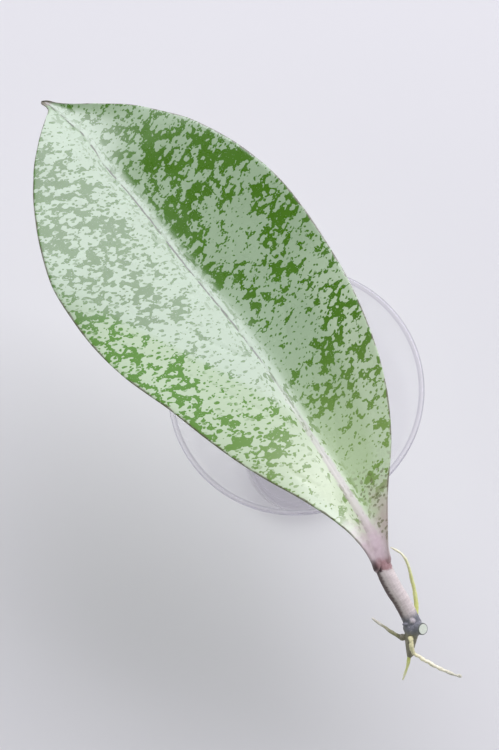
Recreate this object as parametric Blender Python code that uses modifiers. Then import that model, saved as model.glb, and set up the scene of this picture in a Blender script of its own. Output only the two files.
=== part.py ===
"""A silver-splashed hoya leaf cutting that lies across the rim of a clear tumbler.

Metres, with +Z up. The origin is the middle of the tumbler's flat underside.
The blade points to the back left, and its petiole, node and roots hang at the front right.
"""

import math

import bmesh
import bpy
import numpy as np
from mathutils import Matrix, Vector

MM = 0.001
CLEARANCE = 0.3 * MM

# Tumbler: a straight tapered wall with a rounded lip and a thick flat floor
RIM_RADIUS = 32.0 * MM
RIM_HEIGHT = 84.0 * MM
BASE_RADIUS = 17.5 * MM
WALL = 1.4 * MM
FLOOR = 3.0 * MM
FOOT_ROUNDING = 1.6 * MM
INNER_ROUNDING = 3.0 * MM
TUMBLER_SIDES = 64

# Blade: its base in plan, its direction, and its shape along the midrib
BLADE_BASE = (20.5 * MM, -41.9 * MM)
BLADE_HEADING = math.radians(125.7)
BLADE_LENGTH = 150.5 * MM
BLADE_ROWS = 50
BLADE_COLUMNS = 22

# Distance from the base, half width on the left and half width on the right, in millimetres
BLADE_OUTLINE = (
    (0.0, 2.65, 2.6),
    (2.6, 3.35, 3.4),
    (8.0, 4.8, 6.4),
    (22.0, 10.95, 16.7),
    (37.0, 18.6, 23.9),
    (57.0, 25.7, 29.0),
    (70.0, 29.9, 31.1),
    (82.0, 31.6, 32.4),
    (92.0, 31.6, 32.5),
    (102.0, 30.8, 31.0),
    (110.0, 28.4, 29.1),
    (117.0, 25.5, 26.8),
    (130.0, 18.8, 19.6),
    (136.0, 14.7, 15.0),
    (143.0, 7.1, 8.0),
    (147.5, 1.5, 2.9),
    (150.5, 0.9, 0.9),
)

# Distance from the base and sideways sway of the midrib to the left, in millimetres
MIDRIB_SWAY = (
    (0.0, 0.3),
    (2.6, -0.6),
    (6.0, -1.3),
    (11.0, -1.8),
    (32.0, -3.4),
    (62.0, -4.6),
    (92.0, -3.7),
    (110.0, -3.5),
    (125.0, -2.7),
    (136.5, -2.95),
    (141.0, -2.05),
    (150.5, -0.2),
)

# Distance from the base and height of the midrib's upper face, in millimetres
MIDRIB_BOW = (
    (0.0, 4.0),
    (15.0, 4.5),
    (46.0, 4.6),
    (77.0, 2.9),
    (112.0, 0.7),
    (130.0, -0.3),
    (150.5, -2.0),
)

# Rise of each half from midrib to margin, how far its middle bulges up and how far its margin curls down,
# as shares of the half width; the right half's rise fades towards the tip
LEFT_RISE = 0.235
LEFT_BULGE = 0.01
RIGHT_RISE = 0.15
RIGHT_BULGE = -0.02
RIGHT_FADE = 0.85
MARGIN_CURL = 0.02
TIP_ZONE = (0.78, 0.96)

# Beside the midrib the right half carries on down the left half's slope before it turns up
CREST_TURN = 0.275
CREST_WIDTH = 2.4 * MM
CREST_SPREAD = 2.6
BASE_FOLD = 0.35
BASE_EASE = 22.0 * MM
MARGIN_WAVE = 0.5 * MM
WAVE_LENGTH = 47.0 * MM

# Flesh of the blade, and the keel of the midrib under it, from the base to the tip
FLESH_BASE = 1.2 * MM
FLESH_TIP = 0.8 * MM
MARGIN_THINNING = 0.35
KEEL_DEPTH_BASE = 2.4 * MM
KEEL_DEPTH_TIP = 0.2 * MM
KEEL_HALF_WIDTH_BASE = 2.2 * MM
KEEL_HALF_WIDTH_TIP = 0.6 * MM
KEEL_COLUMNS = 3

# Petiole: centre line in millimetres, after a short straight start in the blade's direction
PETIOLE_START_HEIGHT = 85.1 * MM
PETIOLE_START_LEFT = 0.3 * MM
PETIOLE_ROUTE = ((21.5, -45.6, 84.3), (23.4, -49.3, 82.7), (25.6, -52.6, 81.0), (27.1, -55.3, 79.6))
PETIOLE_RADIUS_TOP = 2.15 * MM
PETIOLE_RADIUS_END = 2.05 * MM
PETIOLE_ROUNDNESS = 3

# Stem node: the swollen joint, its cut end, its bud and the tapered stub that the roots leave
NODE_CENTRE = Vector((28.1, -58.4, 78.4)) * MM
NODE_RADIUS = 2.35 * MM
COLLAR_LENGTH = 3.0 * MM
CUT_CENTRE = Vector((30.5, -59.1, 80.95)) * MM
CUT_RADIUS = 1.42 * MM
BUD_CENTRE = Vector((27.9, -57.0, 80.7)) * MM
BUD_RADIUS = 0.7 * MM
STUB_END = Vector((27.4, -64.8, 75.6)) * MM
STUB_RADIUS_TOP = 1.9 * MM
STUB_RADIUS_END = 0.75 * MM

# Roots: centre lines in millimetres and radii from where each one starts to its tip
ROOT_LEFT = (
    (26.0, -60.7, 77.1),
    (24.3, -60.2, 77.1),
    (23.1, -59.5, 77.2),
    (21.6, -58.5, 77.8),
    (20.0, -57.5, 78.6),
    (18.3, -56.3, 79.4),
)
ROOT_DOWN = (
    (27.25, -65.1, 75.45),
    (27.0, -66.6, 75.2),
    (26.7, -67.8, 74.7),
    (26.2, -69.2, 73.9),
    (25.7, -70.6, 73.0),
)
ROOT_RIGHT = (
    (27.8, -61.5, 78.8),
    (27.9, -61.9, 79.5),
    (28.0, -62.9, 79.4),
    (28.0, -64.0, 78.3),
    (28.5, -64.8, 77.5),
    (29.4, -65.1, 77.3),
    (30.6, -65.9, 76.9),
    (32.3, -66.9, 76.7),
    (34.0, -67.8, 76.4),
    (36.0, -68.7, 76.0),
    (37.7, -69.4, 75.7),
    (39.9, -69.9, 75.6),
)
ROOT_AERIAL = (
    (28.7, -56.8, 75.9),
    (29.0, -55.6, 75.5),
    (29.2, -53.0, 76.2),
    (29.0, -50.8, 76.8),
    (28.6, -48.7, 77.6),
    (28.1, -46.8, 78.5),
    (27.2, -43.6, 80.3),
    (25.5, -41.0, 81.6),
    (23.6, -40.1, 82.0),
)
ROOT_STEPS = 3
ROOT_ROUNDNESS = 2

for leftover in list(bpy.data.objects):
    bpy.data.objects.remove(leftover, do_unlink=True)

parts = bpy.data.collections.new("hoya_leaf_on_tumbler")
cutters = bpy.data.collections.new("cutters")
bpy.context.scene.collection.children.link(parts)
bpy.context.scene.collection.children.link(cutters)


def material(name, colour, roughness, alpha=1.0):
    """A plain Principled material in one colour."""
    made = bpy.data.materials.new(name)
    made.use_nodes = True
    shader = made.node_tree.nodes["Principled BSDF"]
    shader.inputs["Base Color"].default_value = (*colour, 1.0)
    shader.inputs["Roughness"].default_value = roughness
    shader.inputs["Metallic"].default_value = 0.0
    shader.inputs["Alpha"].default_value = alpha
    made.diffuse_color = (*colour, alpha)
    return made


def add_object(name, mesh, surface):
    """Link a mesh as a named object with one material and smooth shading."""
    mesh.materials.clear()
    mesh.materials.append(surface)
    mesh.shade_smooth()
    mesh.set_sharp_from_angle(angle=math.radians(40))
    made = bpy.data.objects.new(name, mesh)
    parts.objects.link(made)
    return made


def smooth_step(value, start, end):
    """0 before the start, 1 after the end and an even slope between them."""
    share = np.clip((value - start) / (end - start), 0.0, 1.0)
    return share * share * (3 - 2 * share)


def smooth_through(points, at):
    """Read a smooth curve through a few measured points; the first column is the place along it."""
    points = np.asarray(points, dtype=float)
    at = np.asarray(at, dtype=float)
    place, value = points[:, 0], points[:, 1:]
    step = np.diff(place)[:, None]
    slope = np.diff(value, axis=0) / step
    between = (slope[:-1] * step[1:] + slope[1:] * step[:-1]) / (step[1:] + step[:-1])
    tangent = np.vstack([slope[:1], between, slope[-1:]])
    left = np.clip(np.searchsorted(place, at) - 1, 0, len(place) - 2)
    width = step[left]
    part = ((at - place[left])[..., None]) / width
    blend = smooth_step(part, 0.0, 1.0)
    leaving = (part**3 - 2 * part**2 + part) * width * tangent[left]
    arriving = (part**3 - part**2) * width * tangent[left + 1]
    return (1 - blend) * value[left] + blend * value[left + 1] + leaving + arriving


def arc(centre, radius, start, end, steps):
    """Points on an arc in the profile plane, with both ends; angles in degrees."""
    angles = np.radians(np.linspace(start, end, steps + 1))
    return [(centre[0] + radius * math.cos(angle), centre[1] + radius * math.sin(angle)) for angle in angles]


# Tumbler

def tumbler_profile():
    """Half section from the inner floor up the inside, over the lip and down the outside."""
    lip = WALL / 2
    lean = math.degrees(math.atan2(RIM_RADIUS - BASE_RADIUS, RIM_HEIGHT))
    inner_foot = BASE_RADIUS - WALL + (RIM_RADIUS - BASE_RADIUS) * (FLOOR + INNER_ROUNDING) / RIM_HEIGHT
    inner_corner = arc((inner_foot - INNER_ROUNDING, FLOOR + INNER_ROUNDING), INNER_ROUNDING, -90, -lean, 3)
    mouth = arc((RIM_RADIUS - lip, RIM_HEIGHT - lip), lip, 180, 0, 6)
    outer_corner = arc((BASE_RADIUS - FOOT_ROUNDING, FOOT_ROUNDING), FOOT_ROUNDING, 0, -90, 3)
    return [(0.0, FLOOR)] + inner_corner + mouth + outer_corner + [(0.0, 0.0)]


def build_tumbler():
    mesh = bpy.data.meshes.new("tumbler")
    profile = tumbler_profile()
    edges = [(index, index + 1) for index in range(len(profile) - 1)]
    mesh.from_pydata([(radius, 0.0, height) for radius, height in profile], edges, [])
    tumbler = add_object("tumbler", mesh, material("clear_glass", (0.92, 0.93, 0.95), 0.03, 0.35))
    turn = tumbler.modifiers.new("turn", "SCREW")
    turn.axis = "Z"
    turn.angle = math.tau
    turn.steps = TUMBLER_SIDES
    turn.render_steps = TUMBLER_SIDES
    turn.use_merge_vertices = True
    turn.merge_threshold = 0.01 * MM
    turn.use_smooth_shade = True
    return tumbler


# Blade, in its own frame: x runs along the leaf, y to its left and z up from the rim's plane

def half_width(distance, left_side):
    """Distance from the midrib to the margin."""
    widths = smooth_through(BLADE_OUTLINE, distance / MM) * MM
    return np.where(left_side, widths[..., 0], widths[..., 1])


def midrib_side(distance):
    return smooth_through(MIDRIB_SWAY, distance / MM)[..., 0] * MM


def taper(distance, at_base, at_tip):
    return at_base + (at_tip - at_base) * np.sqrt(np.clip(distance / BLADE_LENGTH, 0.0, 1.0))


def upper_face(distance, offset):
    """Height of the upper face, offset sideways from the midrib."""
    left_side = offset > 0
    reach = half_width(distance, left_side)
    share = np.clip(np.abs(offset) / reach, 0.0, 1.0)
    tipward = smooth_step(distance / BLADE_LENGTH, *TIP_ZONE)
    rise = np.where(left_side, LEFT_RISE, RIGHT_RISE * (1 - RIGHT_FADE * tipward))
    bulge = np.where(left_side, LEFT_BULGE, RIGHT_BULGE)
    fold = reach * (rise * share + bulge * 4 * share * (1 - share) - MARGIN_CURL * share**12)
    crest_width = CREST_WIDTH * (1 + (CREST_SPREAD - 1) * tipward)
    sink = crest_width * (CREST_TURN + rise) * (1 - np.exp(-np.abs(offset) / crest_width))
    fold = fold - np.where(left_side, 0.0, sink)
    from_base = BASE_FOLD + (1 - BASE_FOLD) * smooth_step(distance, 0.0, BASE_EASE)
    wave = MARGIN_WAVE * share**3 * np.sin(math.tau * distance / WAVE_LENGTH + np.where(left_side, 0.0, 1.2))
    bow = smooth_through(MIDRIB_BOW, distance / MM)[..., 0] * MM
    return bow + fold * from_base + wave


def lower_face(distance, offset):
    """Height of the lower face: the flesh thins to the margin, and the keel hangs under the midrib."""
    reach = half_width(distance, offset > 0)
    share = np.clip(np.abs(offset) / reach, 0.0, 1.0)
    flesh = taper(distance, FLESH_BASE, FLESH_TIP) * (1 - MARGIN_THINNING * share**3)
    keel_share = np.clip(offset / keel_half_width(distance), -1.0, 1.0)
    keel = taper(distance, KEEL_DEPTH_BASE, KEEL_DEPTH_TIP) * (1 - keel_share**2)
    return upper_face(distance, offset) - flesh - keel


def keel_half_width(distance):
    return taper(distance, KEEL_HALF_WIDTH_BASE, KEEL_HALF_WIDTH_TIP)


def column_offset(distance, across):
    """Sideways offset of a grid column; the columns nearest the midrib shape the keel."""
    keel_share = KEEL_COLUMNS / (BLADE_COLUMNS / 2)
    reach = half_width(distance, across > 0)
    keel = keel_half_width(distance)
    if abs(across) <= keel_share:
        return across / keel_share * keel
    beyond = (abs(across) - keel_share) / (1 - keel_share)
    return math.copysign(keel + (reach - keel) * beyond, across)


def blade_axes():
    """Unit vectors along the leaf and to its left, in plan."""
    along = np.array([math.cos(BLADE_HEADING), math.sin(BLADE_HEADING)])
    return along, np.array([-along[1], along[0]])


def resting_lift():
    """How far the blade is raised so that it just clears the tumbler's lip all round."""
    along, left = blade_axes()
    lip = WALL / 2
    turn, ride = np.meshgrid(np.linspace(0, math.tau, 721), np.linspace(-0.95, 0.95, 9))
    radius = RIM_RADIUS - lip + ride * lip
    lip_top = lip * (np.sqrt(1 - ride**2) - 1)
    plan = np.stack([radius * np.cos(turn), radius * np.sin(turn)], axis=-1) - np.array(BLADE_BASE)
    distance, side = plan @ along, plan @ left
    inside = np.clip(distance, 0.0, BLADE_LENGTH)
    offset = side - midrib_side(inside)
    covered = (distance == inside) & (np.abs(offset) < half_width(inside, offset > 0))
    gap = lower_face(inside, offset) - lip_top
    return CLEARANCE - gap[covered].min()


def build_blade():
    """A grid laid out in the leaf's outline, given its thickness and closed round the margin."""
    sheet = bmesh.new()
    bmesh.ops.create_grid(sheet, x_segments=BLADE_ROWS, y_segments=BLADE_COLUMNS, size=0.5)
    bmesh.ops.triangulate(sheet, faces=sheet.faces[:], quad_method="ALTERNATE")
    copied = bmesh.ops.extrude_face_region(sheet, geom=sheet.faces[:])["geom"]
    upper = {element for element in copied if isinstance(element, bmesh.types.BMVert)}
    for vertex in sheet.verts:
        distance = (vertex.co.x + 0.5) * BLADE_LENGTH
        offset = column_offset(distance, 2 * vertex.co.y)
        face = upper_face if vertex in upper else lower_face
        height = float(face(np.float64(distance), np.float64(offset)))
        vertex.co = (distance, float(midrib_side(distance)) + offset, height)
    bmesh.ops.recalc_face_normals(sheet, faces=sheet.faces[:])
    mesh = bpy.data.meshes.new("leaf_blade")
    sheet.to_mesh(mesh)
    sheet.free()
    blade = add_object("leaf_blade", mesh, material("splashed_leaf", (0.42, 0.58, 0.36), 0.35))
    blade.location = (*BLADE_BASE, RIM_HEIGHT + resting_lift())
    blade.rotation_euler = (0.0, 0.0, BLADE_HEADING)
    return blade


# Tubes: petiole and roots

def smooth_route(route, steps):
    """Points on a smooth curve through the route's own points."""
    route = np.asarray(route, dtype=float)
    travelled = np.concatenate([[0.0], np.cumsum(np.linalg.norm(np.diff(route, axis=0), axis=1))])
    knots = np.column_stack([travelled, route])
    stretches = zip(travelled[:-1], travelled[1:])
    at = np.concatenate([np.linspace(start, end, steps, endpoint=False) for start, end in stretches])
    return smooth_through(knots, np.append(at, travelled[-1]))


def tube(name, points, radius_start, radius_end, surface, roundness):
    """A round tube through points in metres, tapering evenly, with flat closed ends."""
    curve = bpy.data.curves.new(name, "CURVE")
    curve.dimensions = "3D"
    curve.bevel_depth = 1.0
    curve.bevel_resolution = roundness
    curve.use_fill_caps = True
    spline = curve.splines.new("POLY")
    spline.points.add(len(points) - 1)
    for index, (knot, point) in enumerate(zip(spline.points, points)):
        share = index / (len(points) - 1)
        knot.co = (*point, 1.0)
        knot.radius = radius_start + (radius_end - radius_start) * share
    holder = bpy.data.objects.new(name + "_curve", curve)
    cutters.objects.link(holder)
    bpy.context.view_layer.update()
    mesh = bpy.data.meshes.new_from_object(holder.evaluated_get(bpy.context.evaluated_depsgraph_get()))
    bpy.data.objects.remove(holder, do_unlink=True)
    welded = bmesh.new()
    welded.from_mesh(mesh)
    bmesh.ops.remove_doubles(welded, verts=welded.verts[:], dist=0.01 * MM)
    bmesh.ops.recalc_face_normals(welded, faces=welded.faces[:])
    welded.to_mesh(mesh)
    welded.free()
    mesh.name = name
    return add_object(name, mesh, surface)


def petiole_points():
    """The petiole leaves the blade straight, then bends down to the node."""
    along, left = blade_axes()
    foot = np.array(BLADE_BASE) + left * PETIOLE_START_LEFT
    start = [
        (*(foot - along * (CLEARANCE + run)), PETIOLE_START_HEIGHT - drop)
        for run, drop in ((0.0, 0.0), (1.0 * MM, 0.1 * MM))
    ]
    bend = [tuple(np.array(point) * MM) for point in PETIOLE_ROUTE]
    return smooth_route(start + bend, 3)


def build_petiole():
    surface = material("petiole_skin", (0.55, 0.50, 0.49), 0.6)
    points = petiole_points()
    return tube("petiole", points, PETIOLE_RADIUS_TOP, PETIOLE_RADIUS_END, surface, PETIOLE_ROUNDNESS)


# Stem node

def cone_between(name, start, end, radius_start, radius_end, sides=20):
    """A capped cone or cylinder between two points, as a piece to be joined."""
    shape = bmesh.new()
    length = (end - start).length
    turn = (end - start).to_track_quat("Z", "Y").to_matrix().to_4x4()
    place = Matrix.Translation((start + end) / 2) @ turn
    bmesh.ops.create_cone(
        shape,
        cap_ends=True,
        segments=sides,
        radius1=radius_start,
        radius2=radius_end,
        depth=length,
        matrix=place,
    )
    return joined_piece(name, shape)


def ball(name, centre, radius, stretch=(1.0, 1.0, 1.0)):
    """A round or stretched ball, as a piece to be joined."""
    shape = bmesh.new()
    place = Matrix.Translation(centre) @ Matrix.Diagonal((*stretch, 1.0))
    bmesh.ops.create_uvsphere(shape, u_segments=20, v_segments=12, radius=radius, matrix=place)
    return joined_piece(name, shape)


def joined_piece(name, shape):
    mesh = bpy.data.meshes.new(name)
    shape.to_mesh(mesh)
    shape.free()
    piece = bpy.data.objects.new(name, mesh)
    piece.hide_render = True
    piece.display_type = "WIRE"
    cutters.objects.link(piece)
    return piece


def build_stem_node():
    """A collar that takes the petiole, a swollen joint, the cut stem, a bud and a tapered stub."""
    points = petiole_points()
    petiole_end = Vector(points[-1])
    petiole_direction = (petiole_end - Vector(points[-2])).normalized()
    collar_start = petiole_end + petiole_direction * CLEARANCE
    collar_end = collar_start + petiole_direction * COLLAR_LENGTH
    collar = cone_between("collar", collar_start, collar_end, PETIOLE_RADIUS_END, NODE_RADIUS * 0.95)
    node = add_object("stem_node", collar.data, material("node_bark", (0.33, 0.34, 0.35), 0.6))
    bpy.data.objects.remove(collar, do_unlink=True)
    pieces = (
        ball("joint", NODE_CENTRE, NODE_RADIUS, (1.0, 1.05, 0.95)),
        cone_between("cut_stem", NODE_CENTRE, CUT_CENTRE, CUT_RADIUS * 1.15, CUT_RADIUS),
        ball("bud", BUD_CENTRE, BUD_RADIUS),
        cone_between("stub", NODE_CENTRE, STUB_END, STUB_RADIUS_TOP, STUB_RADIUS_END),
    )
    for piece in pieces:
        join = node.modifiers.new("join_" + piece.name, "BOOLEAN")
        join.operation = "UNION"
        join.solver = "EXACT"
        join.object = piece
    return node


def build_roots():
    olive = material("old_root", (0.36, 0.34, 0.20), 0.6)
    pale = material("pale_root", (0.84, 0.83, 0.58), 0.5)
    green = material("green_root", (0.66, 0.70, 0.32), 0.5)
    kinds = (
        ("root_left", ROOT_LEFT, 0.6 * MM, 0.28 * MM, olive),
        ("root_down", ROOT_DOWN, 0.5 * MM, 0.22 * MM, green),
        ("root_right", ROOT_RIGHT, 0.5 * MM, 0.35 * MM, pale),
        ("root_aerial", ROOT_AERIAL, 0.62 * MM, 0.25 * MM, green),
    )
    for name, route, radius_start, radius_end, surface in kinds:
        points = smooth_route(np.array(route) * MM, ROOT_STEPS)
        tube(name, points, radius_start, radius_end, surface, ROOT_ROUNDNESS)


build_tumbler()
build_blade()
build_petiole()
build_stem_node()
build_roots()
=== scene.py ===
"""Looks for a silver-splashed hoya leaf cutting that lies across the rim of a clear tumbler."""

import math

import bmesh
import bpy
import numpy as np
from mathutils import Matrix, Vector
from mathutils.bvhtree import BVHTree


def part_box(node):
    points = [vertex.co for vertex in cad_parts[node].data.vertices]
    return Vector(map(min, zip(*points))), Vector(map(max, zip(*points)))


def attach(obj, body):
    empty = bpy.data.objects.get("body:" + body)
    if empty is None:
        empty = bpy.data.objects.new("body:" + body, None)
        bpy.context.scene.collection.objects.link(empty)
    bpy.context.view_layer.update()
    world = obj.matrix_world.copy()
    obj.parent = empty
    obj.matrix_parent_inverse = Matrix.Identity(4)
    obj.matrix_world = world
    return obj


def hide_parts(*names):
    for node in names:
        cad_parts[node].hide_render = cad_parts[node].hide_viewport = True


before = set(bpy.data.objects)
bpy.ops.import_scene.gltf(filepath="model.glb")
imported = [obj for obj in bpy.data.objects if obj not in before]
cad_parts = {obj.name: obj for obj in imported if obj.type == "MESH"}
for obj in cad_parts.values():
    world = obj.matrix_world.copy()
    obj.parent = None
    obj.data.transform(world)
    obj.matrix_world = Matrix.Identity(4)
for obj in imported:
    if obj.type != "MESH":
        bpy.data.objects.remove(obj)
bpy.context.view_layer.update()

MM = 0.001

# Sizes read from the frame
tumbler_low, tumbler_high = (Vector(corner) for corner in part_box("tumbler"))
RIM_RADIUS = (tumbler_high.x - tumbler_low.x) / 2
RIM_HEIGHT = tumbler_high.z

# Tumbler
BASE_RADIUS = 17.5 * MM
WALL = 1.4 * MM
FLOOR_THICKNESS = 3.0 * MM
FOOT_ROUNDING = 1.6 * MM
INNER_ROUNDING = 3.0 * MM
GLASS_SIDES = 192
GLASS_WELD = 0.01 * MM

# Blade: its base in plan, its direction, its length, and the rounding of its ends and margin
BLADE_BASE = (20.5 * MM, -41.9 * MM)
BLADE_HEADING = math.radians(125.7)
BLADE_DIRECTION = Vector((math.cos(BLADE_HEADING), math.sin(BLADE_HEADING), 0.0))
BLADE_LEFT = Vector((-BLADE_DIRECTION.y, BLADE_DIRECTION.x, 0.0))
BLADE_LENGTH = 151.3 * MM
BASE_OVERRUN = 3.4 * MM
BASE_ROUNDING = 1.6 * MM
TIP_ROUNDING = 1.3 * MM
MARGIN_FLESH = 0.3 * MM
NARROWEST_REACH = 0.6 * MM

# How the blade is seated: its clearance, and how many places round and across the lip are tried
RIM_CLEARANCE = 0.12 * MM
RIM_STOPS = 720
LIP_STOPS = 7

# Mesh of the blade: rows, columns of its faces and edges, and how much closer rows lie in its middle
BLADE_ROWS = 290
UPPER_COLUMNS = 150
LOWER_COLUMNS = 96
EDGE_COLUMNS = 5
ROW_CROWDING = 0.045
BLADE_WELD = 0.01 * MM

# Distance from the base, half width on the left and half width on the right, in millimetres
BLADE_OUTLINE = (
    (-3.4, 1.7, 1.7), (-2.8, 1.9, 1.9), (-1.3, 2.35, 2.35), (0.6, 2.8, 2.75), (2.6, 3.35, 3.4),
    (5.3, 4.1, 4.8), (8, 4.8, 6.4), (22, 10.95, 16.7), (30, 15.3, 21.1), (37, 18.6, 23.9),
    (47, 22.5, 26.8), (57, 25.7, 29), (70, 29.9, 31.1), (82, 31.6, 32.4), (92, 31.6, 32.5),
    (102, 30.8, 31), (110, 28.4, 29.1), (117, 25.5, 26.8), (124, 21.9, 23.8), (130, 18.8, 19.6),
    (136, 14.7, 15), (140, 10.5, 11.2), (143, 7.1, 8), (145.5, 4, 4.9), (147.5, 1.5, 2.9),
    (149, 1.05, 1.8), (150.3, 1.15, 1.25), (151.3, 0.75, 0.7),
)

# Distance from the base and sideways sway of the midrib to the left, in millimetres
MIDRIB_SWAY = (
    (-3.4, 1.4), (-1.3, 0.8), (0.6, 0.1), (2.6, -0.6), (6, -1.3), (11, -1.8), (32, -3.4), (62, -4.6),
    (92, -3.7), (110, -3.5), (118, -3.1), (125, -2.7), (132, -3.05), (136.5, -2.95), (141, -2.05),
    (147, -0.9), (149.5, -0.3), (151.3, 0.3),
)

# Distance from the base and height of the midrib's upper face, in millimetres
MIDRIB_BOW = (
    (-3.4, 3.2), (-1.3, 3.75), (0.6, 4.1), (15, 4.5), (46, 4.6), (77, 2.9), (112, 0.7), (130, -0.3),
    (151.3, -2),
)

# Sizes of the blade's form: each is an input of the Geometry Nodes tree below
BLADE_SIZES = {
    "Length": BLADE_LENGTH,
    "Left rise": 0.235,
    "Left bulge": 0.010,
    "Right rise": 0.15,
    "Right bulge": -0.02,
    "Right fade": 0.85,
    "Crest turn": 0.275,
    "Crest width": 1.7 * MM,
    "Crest spread at base": 1.8,
    "Crest spread at tip": 3.4,
    "Margin curl": 0.008,
    "Base ease": 22.0 * MM,
    "Margin wave": 0.5 * MM,
    "Wave length": 47.0 * MM,
    "Flesh at base": 1.2 * MM,
    "Flesh at tip": 0.8 * MM,
    "Margin thinning": 0.35,
    "Keel depth at base": 2.4 * MM,
    "Keel depth at tip": 0.2 * MM,
    "Keel width at base": 2.2 * MM,
    "Keel width at tip": 0.6 * MM,
    "Rib height": 0.14 * MM,
    "Rib width": 1.7 * MM,
    "Rib length": 40.0 * MM,
    "Groove depth": 0.07 * MM,
    "Groove width": 0.30 * MM,
    "Vein spacing": 21.0 * MM,
    "Vein slant": 1.75,
    "Vein depth": 0.09 * MM,
    "Blister height": 0.22 * MM,
    "Blister size": 13.0 * MM,
    "Seed": 4.0,
}

# Steepness of the margin's curl, shift of the right half's wave and the left half's veins, their sharpness
CURL_POWER = 12.0
WAVE_SHIFT = 1.2
VEIN_SHIFT = 0.45
VEIN_SHARPNESS = 24.0

# Splashes: their lean and stretch, the shift that makes the two halves differ, and their soft edge
SPLASH_LEAN = 0.38
SPLASH_STRETCH = 0.74
SPLASH_SHIFT = 211.0
SPLASH_EDGE = 0.02
FLECK_STRETCH = (0.78, 1.08, 1.0)

# Silver beside the outer midrib: strength, then start, rise and half width in millimetres
MIDRIB_SILVER = (0.9, 45, 20, 2.8)

# Slant of the line past which the left half is duller
DULL_SLANT = 2.05

# Wine skin where blade and petiole meet
WINE_TONES = ((128, 92, 88), (182, 152, 148))

# Where green shows most: distance, side to the left, radius and strength, in millimetres
GREEN_PATCHES = (
    (104, 15, 26, 0.45), (26, 9, 3.5, 1), (15.5, 6, 3, 0.9), (36.5, 5.5, 3, 1.3), (40.5, 11, 3.5, 0.8),
    (46, 15.5, 5, 0.8), (57, 17.5, 4.5, 0.9), (65, 15.5, 4, 0.8), (72, 23, 5, 0.6), (83, 22, 4, 0.5),
    (79, 4.5, 3.5, 0.8), (85.5, 10, 4, 0.7), (94.5, 20.5, 6, 0.6), (99.5, 13, 5.5, 0.7),
    (105.5, 5.5, 4, 0.9), (114, 7.5, 4.5, 0.7), (115, 20.5, 5.5, 0.8), (126.5, 10.5, 6, 0.6),
    (136, 7.5, 3.5, 0.5), (17, -11.5, 3, 0.6), (25, -19, 3.5, 0.7), (32.5, -20.5, 3, 0.6),
    (38.5, -11.5, 3.5, 1.1), (38, -18, 2.5, 0.7), (47.5, -18, 3.5, 1.4), (44.5, -23.5, 4, 0.9),
    (55, -29, 4.5, 1), (60, -24, 2.5, 0.6), (63, -10, 2, 0.8), (69, -17, 3.5, 0.7),
    (72.5, -13.5, 2.5, 0.9), (72.5, -24, 3, 0.9), (78, -23.5, 3, 0.8), (81.5, -10.5, 3, 1),
    (89, -8, 3.5, 1.3), (85, -31.5, 5.5, 1.5), (93, -28.5, 3, 0.9), (98.5, -9.5, 4, 1.4),
    (103, -10.5, 4, 1.3), (102, -20, 3, 0.9), (106.5, -17, 3, 0.9), (106.5, -27.5, 5, 1.6),
    (113, -24.5, 3.5, 1), (114, -13.5, 3.5, 1), (119, -11.5, 3.5, 1.1), (121, -21, 4, 0.8),
    (126.5, -14, 3.5, 1), (112, -26, 8, 0.35), (124, -16, 8, 0.35), (130, 14, 9, 0.35),
    (46, -3.5, 4, 0.5), (14, -6, 4.5, 0.9),
)

# Where silver shows most: the same four values
SILVER_PATCHES = (
    (22, 0.5, 8, 1.3), (60, 5.5, 8, 0.8), (74, 13, 5, 0.8), (50, 8, 5, 0.6), (92, 4, 4, 0.5),
    (20, -6, 9, 1.2), (33, -5, 4, 0.6), (55, -11, 8, 1.3), (30, -14, 4, 0.5), (62, -19, 4, 0.6),
    (72, -5, 4, 0.9), (85, -17.5, 5, 1.2), (90, -22.5, 5, 1.1), (113, -5, 3.5, 0.8), (134, -3, 8, 0.6),
    (110, 13.5, 3.5, 0.5), (97, 22, 10, 0.6), (72, -6.5, 6, 0.5), (70, 24, 8, 0.2),
)

# Petiole: where its centre line starts inside the blade's base, then centre line and radii in millimetres
PETIOLE_HEIGHT = 85.1 * MM
PETIOLE_ASIDE = 0.3 * MM
PETIOLE_STARTS = (2.6 * MM, 0.2 * MM)
PETIOLE_ROUTE = ((21.5, -45.6, 84.3), (23.4, -49.3, 82.7), (25.6, -52.6, 81.0), (27.1, -55.3, 79.6))
PETIOLE_RADII = (1.2, 1.9, 2.12, 2.15, 2.1, 2.08, 2.1)
COLLAR_END = Vector((28.2, -57.6, 78.5)) * MM
COLLAR_RADIUS = 2.15 * MM
SPLIT_POINT = Vector((27.25, -55.6, 79.45)) * MM

# Stem node
NODE_CENTRE = Vector((28.1, -58.4, 78.4)) * MM
NODE_RADIUS = 2.3 * MM
CUT_CENTRE = Vector((30.5, -59.1, 80.95)) * MM
CUT_RADIUS = 1.42 * MM
CUT_FLARE = 1.15
CUT_LENGTH = 3.2 * MM
CUT_FACING = Vector((0.56, -0.20, 0.80)).normalized()
BUD_CENTRE = Vector((27.9, -57.0, 80.7)) * MM
BUD_RADIUS = 0.62 * MM
BUD_SCALE_CENTRE = BUD_CENTRE + Vector((-1.5, -0.9, -0.5)) * MM
BUD_SCALE_RADIUS = 0.55 * MM
STUB_END = Vector((27.4, -64.8, 75.6)) * MM
STUB_BEND = NODE_CENTRE + (STUB_END - NODE_CENTRE) * 0.55 + Vector((-0.15, 0.0, -0.15)) * MM
STUB_RADII = (2.0 * MM, 1.3 * MM, 0.75 * MM)
STUB_TIP_RADIUS = 0.72 * MM
STUB_KNOB_CENTRE = STUB_END + Vector((0.55, 0.1, 0.1)) * MM
STUB_KNOB_RADIUS = 0.5 * MM
ROOT_BOSS_RADIUS = 0.85 * MM
FLANK_WIDTH = 2.0 * MM

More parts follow.
